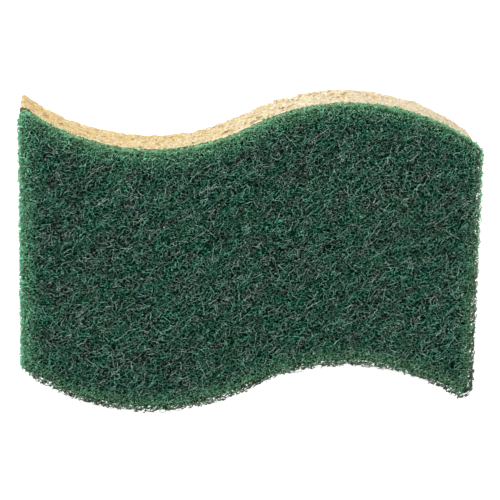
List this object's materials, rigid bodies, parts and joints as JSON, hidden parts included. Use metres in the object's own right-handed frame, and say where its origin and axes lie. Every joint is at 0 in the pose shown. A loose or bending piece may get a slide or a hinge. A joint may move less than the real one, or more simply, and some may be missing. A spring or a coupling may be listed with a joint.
{
  "type": "cleaning sponge",
  "caption": "Wavy kitchen scrub sponge: a pale cellulose sponge block with a dark green scouring pad glued to one face.",
  "frame": {"origin": "middle of the outline's bounding box on the cellulose face that the sponge lies on", "axes": "+X along the length, towards the wave's crest and away from its valley; +Y across, so that the pointed corner with the sharper round is at -X +Y; +Z from the cellulose face up to the scouring face"},
  "size_m": [0.113, 0.0778, 0.0208],
  "materials": {
    "cellulose": "matt, open-celled cellulose foam, cream to pale yellow, with pores from fine to 3 mm",
    "adhesive": "thin olive-brown film of cured glue, slightly glossy",
    "scouring_fibre": "dark green web of resin-bonded crimped fibres, satin"
  },
  "bodies": {
    "root": {"cellulose_sponge": "cellulose", "glue_film": "adhesive", "scouring_pad": "scouring_fibre"}
  },
  "joints": []
}
